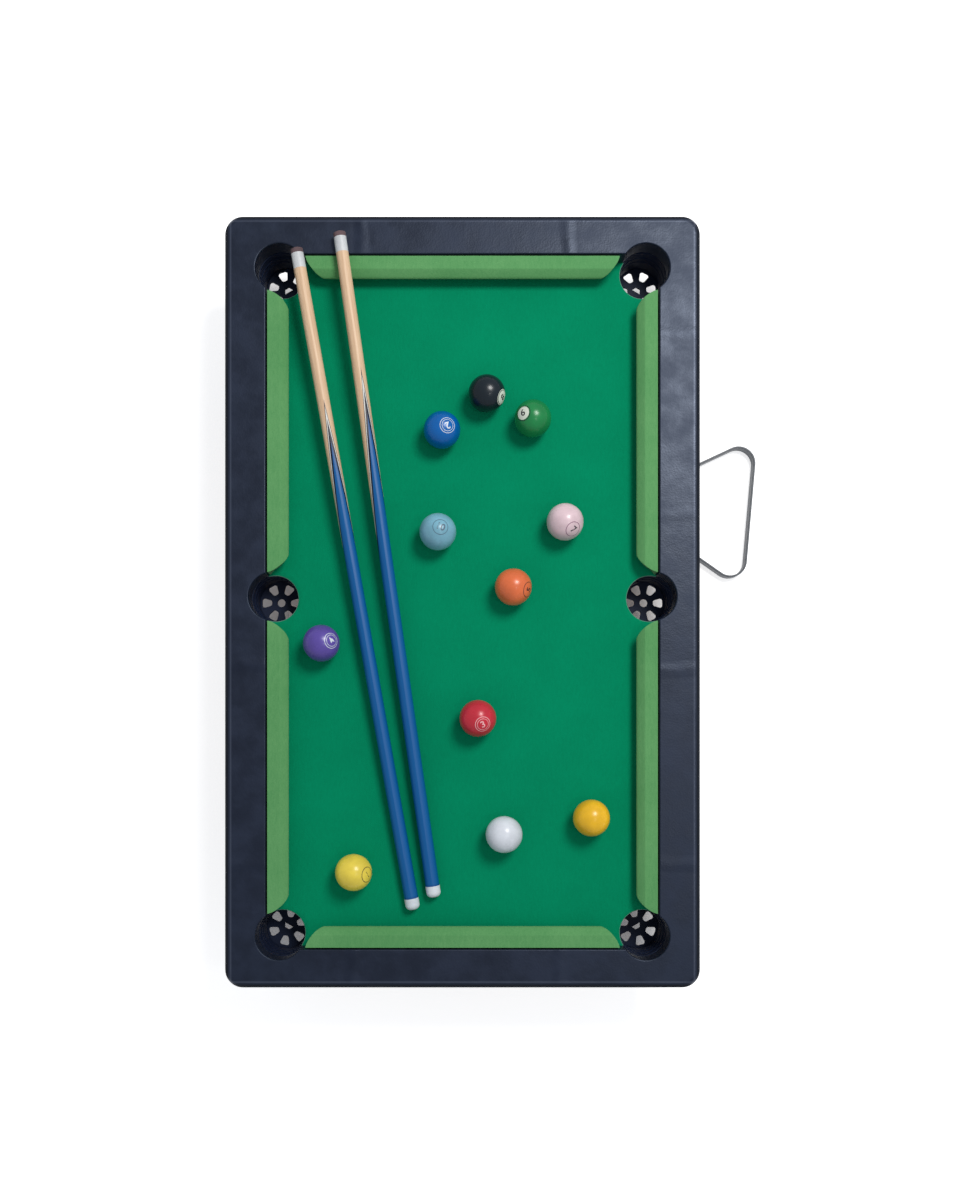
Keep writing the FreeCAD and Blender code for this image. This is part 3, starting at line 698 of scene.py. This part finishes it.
def wrapOnBall(data, centre, radius, way, spin):
    # flat print, in metres about its own middle, laid on the ball round the direction way
    way = Vector(way).normalized()
    side = Vector((0, 1, 0)).cross(way)
    side = (side if side.length > 0.1 else Vector((1, 0, 0))).normalized()
    rise = way.cross(side)
    angle = math.radians(spin)
    for vert in data.vertices:
        u = vert.co.x * math.cos(angle) - vert.co.y * math.sin(angle)
        v = vert.co.x * math.sin(angle) + vert.co.y * math.cos(angle)
        flat = math.hypot(u, v)
        bend = flat / radius
        out = (side * u + rise * v) / flat if flat > 1e-9 else side
        vert.co = centre + (way * math.cos(bend) + out * math.sin(bend)) * radius
    return data


def printDisc(name, inner, outer):
    count, rings = 56, 4
    verts, faces = [], []
    for ring in range(rings + 1):
        reach = inner + (outer - inner) * ring / rings
        for step in range(count):
            angle = 2 * math.pi * step / count
            verts.append((reach * math.cos(angle), reach * math.sin(angle), 0))
    for ring in range(rings):
        for step in range(count):
            following = (step + 1) % count
            a, b = ring * count, (ring + 1) * count
            faces.append((a + step, b + step, b + following, a + following))
    data = bpy.data.meshes.new(name)
    data.from_pydata(verts, [], faces)
    return data


def printDigits(name, text, tall):
    curve = bpy.data.curves.new(name, "FONT")
    curve.body, curve.size = text, tall * printPlan["bodySize"]
    curve.align_x, curve.align_y = "CENTER", "CENTER"
    curve.offset = tall * printPlan["swell"]
    writer = bpy.data.objects.new(name + "Text", curve)
    bpy.context.scene.collection.objects.link(writer)
    bpy.context.view_layer.update()
    data = bpy.data.meshes.new_from_object(writer)
    bpy.data.objects.remove(writer)
    shape = bmesh.new()
    shape.from_mesh(data)
    bmesh.ops.triangulate(shape, faces=shape.faces[:])
    coarse = [e for e in shape.edges if e.calc_length() > printPlan["finest"] * mm]
    bmesh.ops.subdivide_edges(shape, edges=coarse, cuts=2)
    shape.to_mesh(data)
    shape.free()
    data.materials.clear()
    data.name = name
    return data


def ballMaterial(name, colour):
    def paint(place):
        swirl = place.cloud(70, 4.0, 0.6)
        deep = tint(*[c * 0.90 for c in colour])
        return {"Base Color": swirl.ease(0.3, 0.7).blend(deep, tint(*colour)),
                "Roughness": 0.24 + 0.08 * place.cloud(300, 3.0),
                "Normal": place.cloud(160, 2.0).bump(0.06, 0.0001)}
    return newMaterial(name, {"Coat Weight": 0.04, "Coat Roughness": 0.08,
                              "Specular IOR Level": 0.42}, paint)


def paintPrint(first, second):
    def paint(place):
        return {"Base Color": place.cloud(900, 3.0).blend(tint(*first), tint(*second)),
                "Roughness": 0.30 + 0.12 * place.cloud(1400)}
    return paint


inks = {name: newMaterial("print" + name.capitalize(), {"Specular IOR Level": 0.4},
                          paintPrint(*shades)) for name, shades in printPlan["inks"].items()}
for name, plan in ballPlan.items():
    node = "ball_" + name    # the body has the node's name
    label = "ball" + "".join(w.capitalize() for w in name.split("_"))
    low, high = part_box(node)
    centre, radius = (low + high) / 2, (high.z - low.z) / 2
    ball = newPiece(label, buildBall(label, centre, radius), ballMaterial(label, plan["colour"]),
                    node)
    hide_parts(node)
    if "number" not in plan:
        continue
    prints = [("Number", printDigits(label + "Number", plan["number"], printPlan["digit"] * mm),
               plan["ink"], 2)]
    for index, (inner, outer) in enumerate(printPlan["rings"][:plan["rings"]]):
        prints.append(("Ring%d" % (index + 1),
                       printDisc(label + "Ring", inner * mm, outer * mm), plan["ringInk"], 2))
    if "disc" in plan:
        prints.append(("Disc", printDisc(label + "Disc", printPlan["discFrom"] * mm,
                                         printPlan["disc"] * mm), plan["disc"], 1))
    for suffix, data, ink, layer in prints:
        wrapOnBall(data, centre, radius + layer * printPlan["lift"] * mm, plan["way"],
                   plan["spin"])
        newPiece(label + suffix, data, inks[ink], node, smooth=suffix != "Number")
print("balls printed")

print("all pieces in place")
